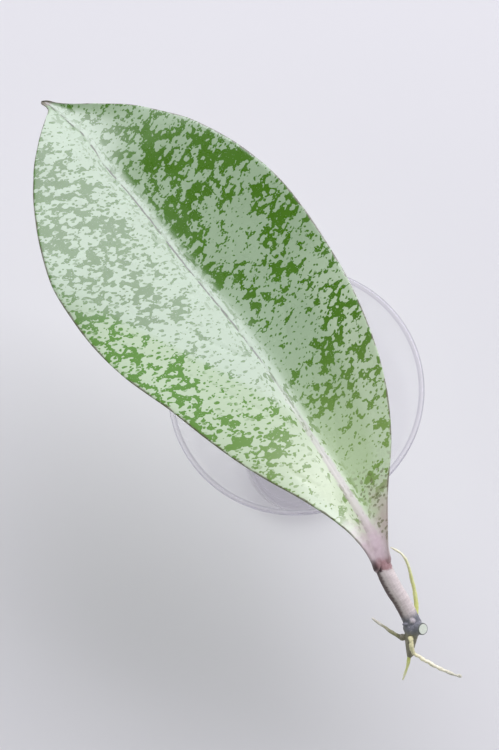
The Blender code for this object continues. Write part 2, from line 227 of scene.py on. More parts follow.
# Mesh of the stem: sides and weld of the tube, then the voxels and rounds of smoothing that melt it
TUBE_SIDES = 32
TUBE_WELD = 0.005 * MM
STEM_VOXEL = 0.11 * MM
STEM_SMOOTHING = 7
CUT_TOLERANCE = 1e-7

# Roots: centre lines in millimetres, from inside the node to the tip
ROOT_LEFT = (
    (27.6, -60.6, 77.5), (25.6, -60.7, 77.1), (24.3, -60.2, 77.1), (23.1, -59.5, 77.2),
    (21.6, -58.5, 77.8), (20, -57.5, 78.6), (18.3, -56.3, 79.4),
)
ROOT_DOWN = (
    (27.4, -64.2, 75.9), (27.2, -65.3, 75.4), (27, -66.6, 75.2), (26.7, -67.8, 74.7),
    (26.2, -69.2, 73.9), (25.7, -70.6, 73),
)
ROOT_RIGHT = (
    (27.5, -60.6, 78.6), (27.6, -61.6, 79.3), (27.7, -62.7, 79), (27.9, -63.8, 78.2),
    (28.3, -64.6, 77.6), (29.2, -65, 77.3), (30.6, -65.9, 76.9), (32.3, -66.9, 76.7), (34, -67.8, 76.4),
    (36, -68.7, 76), (37.7, -69.4, 75.7), (39.9, -69.9, 75.6),
)
ROOT_AERIAL = (
    (28.5, -57.6, 76.7), (28.9, -56, 75.9), (29.2, -53, 76.2), (29, -50.8, 76.8), (28.6, -48.7, 77.6),
    (28.1, -46.8, 78.5), (27.7, -45.2, 79.4), (27.2, -43.6, 80.3), (26.5, -42.2, 81), (25.5, -41, 81.6),
    (24.2, -40.2, 82), (22.9, -39.6, 82.2),
)


# Small tools for node trees

class Value:
    """An output of a node; arithmetic on it adds math nodes to its tree."""

    def __init__(self, socket):
        self.socket = socket
        self.tree = socket.id_data

    def __add__(self, other):
        return calc("ADD", self, other)

    def __sub__(self, other):
        return calc("SUBTRACT", self, other)

    def __rsub__(self, other):
        return calc("SUBTRACT", other, self)

    def __mul__(self, other):
        return calc("MULTIPLY", self, other)

    def __truediv__(self, other):
        return calc("DIVIDE", self, other)

    def __rtruediv__(self, other):
        return calc("DIVIDE", other, self)

    def __pow__(self, other):
        return calc("POWER", self, other)

    def __abs__(self):
        return calc("ABSOLUTE", self)

    __radd__ = __add__
    __rmul__ = __mul__


def tree_of(*values):
    """The tree that the values belong to; some of them may be plain numbers."""
    return next(value.tree for value in values if isinstance(value, Value))


def feed(made, inputs):
    """Link values to a node's inputs, or set the inputs' own numbers, colours and vectors."""
    for name, value in inputs.items():
        if isinstance(value, Value):
            value.tree.links.new(value.socket, made.inputs[name])
        else:
            made.inputs[name].default_value = value


def add(tree, kind, inputs=None, **settings):
    """Add a node with its settings and inputs."""
    made = tree.nodes.new(kind)
    for name, value in settings.items():
        setattr(made, name, value)
    feed(made, inputs or {})
    return made


def result(tree, kind, output, inputs=None, **settings):
    """Add a node and give one of its outputs."""
    return Value(add(tree, kind, inputs, **settings).outputs[output])


def calc(operation, *values, clamp=False):
    """One math node on numbers or values."""
    inputs = dict(enumerate(values))
    return result(tree_of(*values), "ShaderNodeMath", 0, inputs, operation=operation, use_clamp=clamp)


def vector_calc(operation, *vectors, output="Vector"):
    """One math node on vectors."""
    inputs = dict(enumerate(vectors))
    return result(tree_of(*vectors), "ShaderNodeVectorMath", output, inputs, operation=operation)


def scaled(vector, factor):
    """A vector or colour made longer or brighter."""
    inputs = {0: vector, "Scale": factor}
    return result(vector.tree, "ShaderNodeVectorMath", "Vector", inputs, operation="SCALE")


def join(x=0.0, y=0.0, z=0.0):
    """A vector from its three parts."""
    return result(tree_of(x, y, z), "ShaderNodeCombineXYZ", 0, {"X": x, "Y": y, "Z": z})


def split(vector):
    """The three parts of a vector."""
    return [Value(part) for part in add(vector.tree, "ShaderNodeSeparateXYZ", {0: vector}).outputs]


def blend_values(share, low, high):
    """Low where share is 0 and high where it is 1."""
    return share * (high - low) + low


def span(value, start, end, low=0.0, high=1.0, smooth=True):
    """Map a value's stretch from start to end onto low to high."""
    inputs = {"Value": value, "From Min": start, "From Max": end, "To Min": low, "To Max": high}
    kind = "SMOOTHSTEP" if smooth else "LINEAR"
    return result(value.tree, "ShaderNodeMapRange", "Result", inputs, interpolation_type=kind)


def linear(colour):
    """Three numbers in 0 to 255 are a display colour, given back as linear values; others stay."""
    if isinstance(colour, Value) or len(colour) == 4:
        return colour
    shares = [number / 255 for number in colour]
    return (*(part / 12.92 if part <= 0.04045 else ((part + 0.055) / 1.055) ** 2.4 for part in shares), 1.0)


def mix(share, first, second):
    """Blend two colours."""
    inputs = {0: share, 6: linear(first), 7: linear(second)}
    return result(tree_of(share, first, second), "ShaderNodeMix", 2, inputs, data_type="RGBA")


def noise(vector, scale, detail=2.0, roughness=0.5):
    inputs = {"Vector": vector, "Scale": scale, "Detail": detail, "Roughness": roughness}
    return result(vector.tree, "ShaderNodeTexNoise", "Fac", inputs)


def cells(vector, scale, smoothness=0.0, shift=0.0):
    """Distance to the nearest of many scattered points, in cells: thresholds of it are merging drops."""
    inputs = {"Vector": vector_calc("ADD", vector, (shift, shift, 0.0)), "Scale": scale}
    feature = "F1"
    if smoothness:
        inputs["Smoothness"] = smoothness
        feature = "SMOOTH_F1"
    return result(
        vector.tree, "ShaderNodeTexVoronoi", "Distance", inputs, feature=feature, voronoi_dimensions="2D"
    )


def soft_above(value):
    """1 where a value is above 0 and 0 where it is below, with a soft edge."""
    return span(value, -SPLASH_EDGE, SPLASH_EDGE)


def bump(height, strength, distance):
    inputs = {"Height": height, "Strength": strength, "Distance": distance}
    return result(height.tree, "ShaderNodeBump", "Normal", inputs)


def new_tree(name, kind, inputs, outputs):
    """A node tree with named inputs and outputs; gives its inputs as values, by name."""
    tree = bpy.data.node_groups.new(name, kind)
    for way, sockets in (("INPUT", inputs), ("OUTPUT", outputs)):
        for label, socket in sockets.items():
            tree.interface.new_socket(label, in_out=way, socket_type="NodeSocket" + socket)
    return tree, {output.name: Value(output) for output in add(tree, "NodeGroupInput").outputs}


def new_material(name):
    made = bpy.data.materials.new(name)
    made.use_nodes = True
    shader = made.node_tree.nodes["Principled BSDF"]
    return made, made.node_tree, shader


# Small tools for shapes

def smooth_through(points, at):
    """Read a smooth curve through a few measured points; the first column is the place along it."""
    points = np.asarray(points, dtype=float)
    at = np.asarray(at, dtype=float)
    place, value = points[:, 0], points[:, 1:]
    step = np.diff(place)[:, None]
    slope = np.diff(value, axis=0) / step
    between = (slope[:-1] * step[1:] + slope[1:] * step[:-1]) / (step[1:] + step[:-1])
    tangent = np.vstack([slope[:1], between, slope[-1:]])
    left = np.clip(np.searchsorted(place, at) - 1, 0, len(place) - 2)
    width = step[left]
    part = (at - place[left])[..., None] / width
    start = (2 * part**3 - 3 * part**2 + 1) * value[left]
    start = start + (part**3 - 2 * part**2 + part) * width * tangent[left]
    end = (3 * part**2 - 2 * part**3) * value[left + 1] + (part**3 - part**2) * width * tangent[left + 1]
    return start + end


def distance_along(points):
    """How far along a route each of its points lies."""
    return np.concatenate([[0.0], np.cumsum(np.linalg.norm(np.diff(points, axis=0), axis=1))])


def smooth_route(route, steps):
    """Points on a smooth curve through the route's own points."""
    route = np.asarray(route, dtype=float)
    travelled = distance_along(route)
    knots = np.column_stack([travelled, route])
    return smooth_through(knots, np.linspace(0.0, travelled[-1], steps * (len(route) - 1) + 1))


def arc(centre, radius, start, end, steps):
    angles = np.radians(np.linspace(start, end, steps + 1))
    return [(centre[0] + radius * math.cos(angle), centre[1] + radius * math.sin(angle)) for angle in angles]


def link(name, data):
    made = bpy.data.objects.new(name, data)
    bpy.context.scene.collection.objects.link(made)
    return made


def plain_mesh(source, name):
    """The evaluated shape of an object as a plain mesh, which takes the object's place."""
    bpy.context.view_layer.update()
    mesh = bpy.data.meshes.new_from_object(source.evaluated_get(bpy.context.evaluated_depsgraph_get()))
    mesh.name = name
    bpy.data.objects.remove(source, do_unlink=True)
    return link(name, mesh)


def mesh_points(mesh):
    """Vertex positions as one array."""
    flat = np.empty(len(mesh.vertices) * 3)
    mesh.vertices.foreach_get("co", flat)
    return flat.reshape(-1, 3)


def store(mesh, name, values):
    """Keep one number for each vertex under a name that materials and trees can read."""
    numbers = np.asarray(values, dtype=np.float32)
    mesh.attributes.new(name, "FLOAT", "POINT").data.foreach_set("value", numbers)


def face_outwards(mesh, weld=0.0):
    """Weld vertices closer than a distance, then point every face outwards."""
    work = bmesh.new()
    work.from_mesh(mesh)
    if weld:
        bmesh.ops.remove_doubles(work, verts=work.verts[:], dist=weld)
    bmesh.ops.recalc_face_normals(work, faces=work.faces[:])
    work.to_mesh(mesh)
    work.free()
    mesh.update()


def path_object(name, points):
    """A curve that runs straight from point to point."""
    curve = bpy.data.curves.new(name, "CURVE")
    curve.dimensions = "3D"
    spline = curve.splines.new("POLY")
    spline.points.add(len(points) - 1)
    for knot, point in zip(spline.points, points):
        knot.co = (*point, 1.0)
    return link(name, curve)


# Geometry Nodes trees

def geometry_tree(name, numbers):
    """A tree that takes and gives geometry, with a named input for each number and one for the material."""
    inputs = {"Geometry": "Geometry", **dict.fromkeys(numbers, "Float"), "Skin": "Material"}
    return new_tree(name, "GeometryNodeTree", inputs, {"Geometry": "Geometry"})


def close_tree(tree, geometry, skin, weld=0.0):
    """End a tree: welded when a distance is given, smooth, real geometry, its material, then the output."""
    if weld:
        geometry = result(
            tree, "GeometryNodeMergeByDistance", "Geometry", {"Geometry": geometry, "Distance": weld}
        )
    for kind, inputs in (
        ("GeometryNodeSetShadeSmooth", {}),
        ("GeometryNodeRealizeInstances", {}),
        ("GeometryNodeSetMaterial", {"Material": skin}),
    ):
        geometry = result(tree, kind, "Geometry", {"Geometry": geometry, **inputs})
    add(tree, "NodeGroupOutput", {"Geometry": geometry})


def run_tree(source, tree, numbers, skin, name):
    """Put a tree on an object with its sizes, and return the result as a plain mesh object."""
    modifier = source.modifiers.new(tree.name, "NODES")
    modifier.node_group = tree
    for item in tree.interface.items_tree:
        if item.in_out == "INPUT" and item.name in numbers:
            modifier[item.identifier] = float(numbers[item.name])
        if item.in_out == "INPUT" and item.name == "Skin":
            modifier[item.identifier] = skin
    return plain_mesh(source, name)


def named(tree, attribute_name):
    """A value that the mesh carries, in a Geometry Nodes tree."""
    inputs = {"Name": attribute_name}
    return result(tree, "GeometryNodeInputNamedAttribute", "Attribute", inputs, data_type="FLOAT")


def stored(tree, geometry, name, value, kind):
    """Geometry that carries a value at each point under a name."""
    inputs = {"Geometry": geometry, "Name": name, "Value": value}
    return result(
        tree, "GeometryNodeStoreNamedAttribute", "Geometry", inputs, data_type=kind, domain="POINT"
    )


def pushed_out(tree, geometry, height):
    """Geometry whose points are moved along their normals."""
    normal = result(tree, "GeometryNodeInputNormal", "Normal")
    inputs = {"Geometry": geometry, "Offset": scaled(normal, height)}
    return result(tree, "GeometryNodeSetPosition", "Geometry", inputs)


def blade_tree():
    """The leaf's form from its flat layout: fold, bow, wave, flesh, keel, rib, groove and veins."""
    tree, size = geometry_tree("Blade form", BLADE_SIZES)
    distance, share, reach = named(tree, "distance"), named(tree, "share"), named(tree, "reach")
    face, shrink = named(tree, "face"), named(tree, "shrink")
    upper_side = calc("GREATER_THAN", face, 0.0)
    left_side = calc("GREATER_THAN", share, 0.0)
    away = abs(share)
    offset = share * reach * shrink
    off_midrib = abs(offset)
    along = calc("DIVIDE", distance, size["Length"], clamp=True)
    easing = calc("SQRT", along)

    def tapered(label):
        return blend_values(easing, size[label + " at base"], size[label + " at tip"])

    def hill(value, width):
        """1 at the middle, falling smoothly to 0 a few widths away."""
        ratio = value / width
        return calc("EXPONENT", ratio * ratio * -1.0)

    tipward = span(along, 0.78, 0.96)
    fading = 1.0 - size["Right fade"] * tipward
    rise = blend_values(left_side, size["Right rise"] * fading, size["Left rise"])
    bulge = blend_values(left_side, size["Right bulge"], size["Left bulge"])
    arch = away * (1.0 - away) * 4.0
    fold = reach * (bulge * arch + rise * away - size["Margin curl"] * away ** CURL_POWER)

    # The right half first carries on down the left half's slope, then turns up, most sharply past the middle
    spread = span(along, 0.42, 0.58, size["Crest spread at base"], 1.0)
    spread = blend_values(tipward, spread, size["Crest spread at tip"])
    crest_width = size["Crest width"] * spread
    crest_turn = size["Crest turn"] + rise
    sink = calc("EXPONENT", off_midrib / (crest_width * -1.0))
    sink = crest_width * crest_turn * (1.0 - sink) * (1.0 - left_side)
    from_base = span(distance, 0.0, size["Base ease"], 0.35, 1.0)
    folded = (fold - sink) * from_base + named(tree, "bow")

    turns = distance / size["Wave length"] * math.tau
    swell = calc("SINE", turns + WAVE_SHIFT - left_side * WAVE_SHIFT) * away ** 3.0
    waved = swell * size["Margin wave"] + folded

    # Side veins leave the midrib at a slant and bend forward; the skin swells a little between them
    slanted = distance - off_midrib * size["Vein slant"]
    stagger = left_side * VEIN_SHIFT + slanted / size["Vein spacing"]
    ripple = calc("COSINE", stagger * math.tau)
    vein = (ripple * 0.5 + 0.5) ** VEIN_SHARPNESS
    vein = vein * (span(off_midrib, 1.0 * MM, 5.0 * MM) * span(away, 0.55, 0.9, 1.0, 0.0))
    place = join(distance, offset, size["Seed"])
    vein = vein * span(noise(place, 55.0, 1.0), 0.42, 0.62)
    unevenness = noise(place, 1.0 / size["Blister size"], 3.0, 0.45) - 0.5
    quiet_rib = span(off_midrib, 1.5 * MM, 6.0 * MM)
    blister = unevenness * quiet_rib * size["Blister height"]

    # A broad rib on the upper face near the base turns into a fine groove towards the tip
    towards_tip = span(distance, size["Rib length"] * 0.25, size["Rib length"])
    rib_width = blend_values(towards_tip, size["Rib width"], size["Groove width"])
    rib = hill(off_midrib, rib_width) * size["Rib height"] * (1.0 - towards_tip)
    groove = hill(off_midrib, size["Groove width"]) * size["Groove depth"] * towards_tip
    vein_height = vein * size["Vein depth"]
    upper = waved + (blister - vein_height + rib - groove) * shrink

    flesh = tapered("Flesh") * (1.0 - away ** 3.0 * size["Margin thinning"])
    keel_ratio = off_midrib / tapered("Keel width")
    keel_round = calc("SUBTRACT", 1.0, keel_ratio * keel_ratio, clamp=True)
    lower = waved - (flesh + tapered("Keel depth") * keel_round + vein_height)

    # Round the margin and close both ends
    middle = (upper + lower) * 0.5
    half = (upper - lower) * 0.5
    height = half * face * shrink + middle
    outward = named(tree, "outward") * (half * shrink)
    inputs = {
        "Geometry": size["Geometry"],
        "Position": join(distance, offset + outward + named(tree, "sway"), height),
    }
    shaped = result(tree, "GeometryNodeSetPosition", "Geometry", inputs)
    millimetres = join(distance / MM, offset / MM, upper_side)
    marked = stored(tree, shaped, "leaf_place", millimetres, "FLOAT_VECTOR")
    close_tree(tree, marked, size["Skin"], BLADE_WELD)
    return tree


ROOT_SIDES = 18
ROOT_STEP = 0.12 * MM
ROOT_WELD = 0.004 * MM
ROOT_SIZES = {
    "Start radius": 0.6 * MM,
    "End radius": 0.25 * MM,
    "Knob height": 0.12 * MM,
    "Knob length": 1.6 * MM,
    "Seed": 0.0,
}


def root_tree():
    """A thin root along a path: tapering, knobbly and closed at both ends."""
    tree, size = geometry_tree("Root along a path", ROOT_SIZES)
    inputs = {"Curve": size["Geometry"], "Length": ROOT_STEP}
    path = result(tree, "GeometryNodeResampleCurve", "Curve", inputs, mode="LENGTH")
    along = result(tree, "GeometryNodeSplineParameter", "Factor")
    rounded = calc("SQRT", span(along, 0.96, 1.0, 1.0, 0.02, smooth=False))
    radius = blend_values(along, size["Start radius"], size["End radius"]) * rounded
    inputs = {"Resolution": ROOT_SIDES, "Radius": 1.0}
    ring = result(tree, "GeometryNodeCurvePrimitiveCircle", "Curve", inputs)
    path = stored(tree, path, "travel", along, "FLOAT")
    inputs = {"Curve": path, "Profile Curve": ring, "Fill Caps": True, "Scale": radius}
    tube = result(tree, "GeometryNodeCurveToMesh", "Mesh", inputs)
    place = vector_calc("ADD", result(tree, "GeometryNodeInputPosition", "Position"), join(z=size["Seed"]))
    lumps = noise(place, 1.0 / size["Knob length"], 3.0, 0.6)
    knobbly = pushed_out(tree, tube, (lumps - 0.5) * size["Knob height"])
    close_tree(tree, knobbly, size["Skin"], ROOT_WELD)
    return tree


# Materials

def speckle_group():
    """Shader group: fine mottling of a colour, for every part of the plant."""
    inputs = {"Vector": "Vector", "Colour": "Color", "Scale": "Float", "Amount": "Float"}
    outputs = {"Colour": "Color", "Height": "Float"}
    group, source = new_tree("Plant mottling", "ShaderNodeTree", inputs, outputs)
    vector, scale = source["Vector"], source["Scale"]
    both = blend_values(0.35, noise(vector, scale, 5.0, 0.62), noise(vector, scale * 6.0))
    bright = (both - 0.5) * source["Amount"] + 1.0
    add(group, "NodeGroupOutput", {"Colour": scaled(source["Colour"], bright), "Height": both})
    return group


MOTTLING = speckle_group()


def mottled(vector, colour, scale, amount):
    """A colour with fine mottling, and the mottling as a height."""
    inputs = {"Vector": vector, "Colour": colour, "Scale": scale, "Amount": amount}
    made = add(vector.tree, "ShaderNodeGroup", inputs, node_tree=MOTTLING)
    return Value(made.outputs["Colour"]), Value(made.outputs["Height"])


def attribute(tree, name, output="Fac"):
    """A value that the mesh carries."""
    return result(tree, "ShaderNodeAttribute", output, attribute_name=name, attribute_type="GEOMETRY")


def object_place(tree, scale=1.0):
    """Place in the object's own coordinates, in metres times a scale."""
    place = result(tree, "ShaderNodeTexCoord", "Object")
    return place if scale == 1.0 else scaled(place, scale)


def mixed_tones(vector, scale, detail, first, second):
    """Two display colours blended unevenly by noise."""
    return mix(noise(vector, scale, detail), first, second)


def leaf_material():
    """Waxy leaf: ragged silver splashes over green, mauve at the base, dull pale green below."""
    material, tree, shader = new_material("splashed leaf skin")
    place = attribute(tree, "leaf_place", "Vector")
    distance, side, upper = split(place)
    away = abs(side)
    left_side = calc("GREATER_THAN", side, 0.0)

    # Splashes are drawn out across the leaf and a little forward; small green flecks break them up
    outward = distance * SPLASH_LEAN + away
    streaks = join(left_side * SPLASH_SHIFT + outward * SPLASH_STRETCH, distance - away * SPLASH_LEAN)
    inputs = {"Vector": streaks, "Scale": 0.85, "Detail": 1.0}
    fraying = result(tree, "ShaderNodeTexNoise", "Color", inputs)
    ragged = vector_calc("MULTIPLY_ADD", fraying, (1.0, 1.0, 0.0), streaks)
    drift = noise(streaks, 0.25, 3.0, 0.62) - 0.5
    spread = drift * 2.5 + 0.59 - attribute(tree, "green_bias") * 0.24
    drops = spread - cells(ragged, 0.56, smoothness=0.25)
    droplets = spread * 0.9 - 0.25 - cells(ragged, 1.25, smoothness=0.1)
    silver = soft_above(calc("MAXIMUM", drops, droplets))
    holes = 0.27 - spread * 0.2 - cells(ragged, 0.6, shift=7.0)
    silver = silver * (1.0 - soft_above(holes))
    drawn_out = vector_calc("MULTIPLY", ragged, FLECK_STRETCH)
    flecks = blend_values(left_side, 0.13, 0.22) - cells(drawn_out, 0.52, shift=11.0)
    flecked = span(noise(streaks, 0.25), blend_values(left_side, 0.5, 0.44), 0.6)
    flecked = flecked * span(distance, 14.0, 30.0)
    silver = silver * (1.0 - soft_above(flecks) * flecked)
    dots = 0.05 - cells(streaks, 0.9, shift=3.0)
    silver = calc("MAXIMUM", silver, soft_above(dots))
    silver = calc("MAXIMUM", silver, span(distance, 9.0, 13.0, 1.0, 0.0))

    # Beside the midrib the skin is silver with thin dashes that run along it
    lines = join(distance * 0.36, side * 0.85, 3.0)
    midrib_dashes = 1.0 - span(noise(lines, 1.5, 1.0), 0.57, 0.59)
    near_midrib = span(away, 1.6, 3.4, 1.0, 0.0) * span(distance, 48.0, 72.0, 1.0, 0.6)
    silver = blend_values(near_midrib, silver, midrib_dashes)

    # Left of a slanting line from the midrib to the margin the skin is duller and its green fresher
    dull = span(distance - side * DULL_SLANT, 42.0, 35.0) * left_side
    dull = dull * span(distance, 22.0, 44.0) * span(distance, 80.0, 95.0, 1.0, 0.3)
    fresh_green = mixed_tones(streaks, 0.12, 2.0, (63, 110, 8), (73, 124, 15))
    fresh_green = mix(dull * 0.7, fresh_green, (88, 142, 44))
    towards_base = span(distance, 18.0, 60.0, 1.0, 0.0)
    fresh_green = mix(towards_base * 0.85, fresh_green, (126, 160, 82))
    green, _ = mottled(streaks, fresh_green, 2.2, 0.35)
    silver_tone = mixed_tones(streaks, 0.1, 3.0, (148, 175, 134), (159, 187, 147))
    # Near the base the left half's silver is painted paler than the right's: painted sheen where the left
    # half faces the light
    base_silver_with_left_sheen = mix(left_side, (174, 200, 150), (196, 216, 172))
    silver_tone = mix(towards_base, silver_tone, base_silver_with_left_sheen)
    margin = attribute(tree, "to_margin")
    # Painted light: silver is paler towards the margin, where the skin rises out of the shaded trough beside
    # the midrib; it is paler in the duller zone too
    painted_light_outer = span(margin / (away + margin), 0.45, 0.2) * span(distance, 50.0, 80.0, 0.7, 0.0)
    painted_light_outer = calc("MAXIMUM", painted_light_outer, dull * 0.7)
    silver_tone = mix(painted_light_outer, silver_tone, (188, 210, 170))
    silver_skin, _ = mottled(streaks, silver_tone, 1.5, 0.16)
    skin = mix(silver, green, silver_skin)

    # Lilac rib that thins to a pale line, with a dark line beside it painted as shade in the groove
    rib_reach = span(distance, 5.0, 62.0, 1.45, 0.45, smooth=False)
    frayed_side = (noise(lines, 2.2, 3.0) - 0.5) * 1.3 + away
    on_rib = span(frayed_side / rib_reach, 0.6, 1.05, 1.0, 0.0)
    rib_colour = mix(span(distance, 12.0, 60.0), (182, 172, 166), (166, 176, 156))
    skin = mix(on_rib * span(distance, 24.0, 66.0, 0.65, 0.0), skin, rib_colour)
    beside = side + (noise(lines, 1.0) - 0.5) * 0.5
    pale_line = span(abs(beside + 0.75), 0.3, 0.75, 0.2, 0.0) * span(distance, 50.0, 75.0)
    skin = mix(pale_line, skin, (186, 202, 180))
    # Painted shade: a thin broken dark line where the groove beside the midrib lies in shade
    painted_crease_shade = span(abs(beside), 0.11, 0.26, 1.0, 0.0) * span(noise(lines, 0.8, 3.0), 0.4, 0.52, 0.1, 1.0)
    painted_crease_shade = painted_crease_shade * span(distance, 40.0, 60.0)
    skin = mix(painted_crease_shade * 0.9, skin, (58, 70, 34))

    # Mauve base, wine where the petiole meets it with painted shade darkening its left flank, and a brown nub
    # at the tip
    edge_noise = noise(streaks, 0.6) * 7.0
    to_base = span(distance + edge_noise - span(side, -2.5, -5.0, 0.0, 4.0), 5.0, 17.0, 1.0, 0.0)
    mauve = mixed_tones(place, 0.8, 4.0, (178, 158, 158), (216, 202, 202))
    mauve = mix(span(side, -1.6, -3.4, 0.0, 0.75), mauve, (176, 166, 148))
    skin = mix(to_base * 0.9, skin, mauve)
    wine_run = edge_noise * 0.3 + (distance - side * 0.35)
    wine = mixed_tones(place, 1.2, 3.0, *WINE_TONES)
    # Painted shade: the wine turns near black on the left flank, the side away from the light
    wine = mix(span(side, 0.9, 1.9), wine, (60, 36, 38))
    skin = mix(span(wine_run, -1.4, 1.4, 1.0, 0.0), skin, wine)
    nub = mixed_tones(place, 1.6, 2.0, (104, 98, 84), (156, 152, 134))
    skin = mix(span(distance, 148.4, 149.8, 0.0, 0.9), skin, nub)

    # Fine dark specks over the right side of the base
    specks = span(0.34 - cells(ragged, 0.85, smoothness=0.1, shift=5.0), 0.0, 0.08)
    specks = specks * span(noise(place, 0.5), 0.44, 0.56) * span(side, -1.4, -2.6)
    specks = specks * span(distance, 14.0, 22.0, 1.0, 0.0) * span(distance, 1.0, 3.0)
    skin = mix(specks * 0.7, skin, (92, 98, 54))

    # A thin broken dark line runs round the margin
    wander = (noise(place, 0.4, 3.0) - 0.5) * 0.9
    on_margin = span(margin - wander, 0.0, 0.15, 1.0, 0.0) * span(distance, 4.0, 12.0, 0.25, 0.7)
    skin = mix(on_margin, skin, (96, 84, 72))

    # Underside
    under_tone = mixed_tones(place, 0.06, 3.0, (150, 172, 118), (172, 186, 140))
    under_tone = mix(span(away, 0.6, 2.4, 0.6, 0.0), under_tone, (186, 184, 156))
    under_tone = mix(to_base, under_tone, (150, 118, 128))
    under_skin, under_height = mottled(place, under_tone, 0.8, 0.18)

    gloss = span(noise(place, 0.25, 4.0, 0.6), 0.3, 0.7, 0.25, 0.34, smooth=False)
    pores = noise(place, 3.2, 2.0, 0.6)
    leather = noise(place, 0.7, 3.0, 0.55)
    upper_height = silver * 0.1 + (pores * 0.35 + leather)
    height = blend_values(upper, under_height * 2.0, upper_height)
    feed(shader, {
        "Base Color": mix(upper, under_skin, skin),
        "Roughness": blend_values(upper, 0.58, blend_values(dull, gloss, 0.7)),
        "Coat Weight": 0.5 - dull * 0.48,
        "Coat Roughness": 0.24,
        "Normal": bump(height, 0.35, 0.05 * MM),
    })
    return material


def stem_material():
    """Scurfy stem skin: maroon at the blade, grey-mauve along it, slate at the node, pale green where cut;
    darker down its left flank, partly a dark streak and partly painted shade.
    """
    material, tree, shader = new_material("scurfy stem skin")
    place = object_place(tree, 1 / MM)
    stalk = attribute(tree, "stalk")
    shaded_flank = attribute(tree, "shaded_left_flank")
    ragged = noise(place, 1.3, 3.0) * 1.6 + stalk
    x, _, z = split(place)
    cracks = noise(join(stalk * 2.6, x * 0.5, z * 0.5), 1.0, 4.0, 0.65)

    pale = mix(cracks, (170, 161, 151), (238, 232, 222))
    # Down the left flank the bark darkens: partly a real dark streak, partly painted shade on the side away
    # from the light
    flank_shade_and_streak = mixed_tones(place, 0.9, 3.0, (82, 70, 66), (112, 98, 92))
    bark = mix(span((cracks - 0.5) * 0.6 + shaded_flank, 0.48, 0.9), pale, flank_shade_and_streak)
    slate = mixed_tones(place, 1.1, 4.0, (84, 88, 92), (132, 136, 138))
    lichen = span(noise(place, 2.3, 3.0), 0.56, 0.66, 0.0, 0.4)
    slate = mix(lichen, slate, (176, 176, 172))
    skin = mix(span(ragged, 18.2, 20.6), bark, slate)
    stub = mixed_tones(place, 1.4, 3.0, (106, 104, 84), (166, 164, 138))
    skin = mix(span(ragged, 23.2, 25.4), skin, stub)
    wine = mixed_tones(place, 1.2, 3.0, *WINE_TONES)
    # Painted shade: the wine collar turns near black on its left flank
    wine = mix(span(shaded_flank, 0.1, 0.6), wine, (54, 36, 38))
    skin = mix(span(ragged, 6.6, 7.2, 1.0, 0.0), skin, wine)

    bud = (noise(place, 1.6) - 0.5) * 1.1 + attribute(tree, "bud")
    skin = mix(span(bud, 0.45, 0.8, 0.0, 0.85), skin, (202, 198, 194))
    skin = mix(span(bud, 1.0, 1.15, 0.0, 0.8), skin, (140, 116, 98))
    cut = attribute(tree, "cut_face")
    flesh = mix(noise(place, 3.0, 3.0, 0.6), (202, 216, 190), (232, 240, 222))
    skin = mix(span(cut, 0.01, 0.05), skin, (92, 100, 88))
    skin = mix(span(cut, 0.17, 0.26), skin, flesh)
    coloured, grain = mottled(place, skin, 3.0, 0.3)
    rough = span(grain, 0.3, 0.7, 0.45, 0.7, smooth=False)
    feed(shader, {
        "Base Color": coloured,
        "Roughness": rough * span(ragged, 5.6, 6.4, 0.66, 1.0),
        "Normal": bump(grain * 0.5 + cracks, 0.5, 0.12 * MM),
    })
    return material


def root_material(name, start, middle, tip):
    """Root skin, streaky and scurfy, whose colour changes from where it leaves the node to its tip."""
    material, tree, shader = new_material(name)
    place = object_place(tree, 1 / MM)
    travel = attribute(tree, "travel") + (noise(place, 0.6, 3.0, 0.6) - 0.5) * 0.7
    skin = mix(span(travel, 0.05, 0.5), start, middle)
    skin = mix(span(travel, 0.5, 0.95), skin, tip)
    hairs = span(noise(place, 4.0, 2.0, 0.7), 0.56, 0.7, 0.0, 0.4)
    skin = mix(hairs, skin, (246, 246, 226))
    coloured, grain = mottled(place, skin, 2.0, 0.3)
    feed(shader, {
        "Base Color": coloured,
        "Roughness": span(grain, 0.3, 0.7, 0.42, 0.65, smooth=False),
        "Normal": bump(grain, 0.5, 0.1 * MM),
    })
    return material


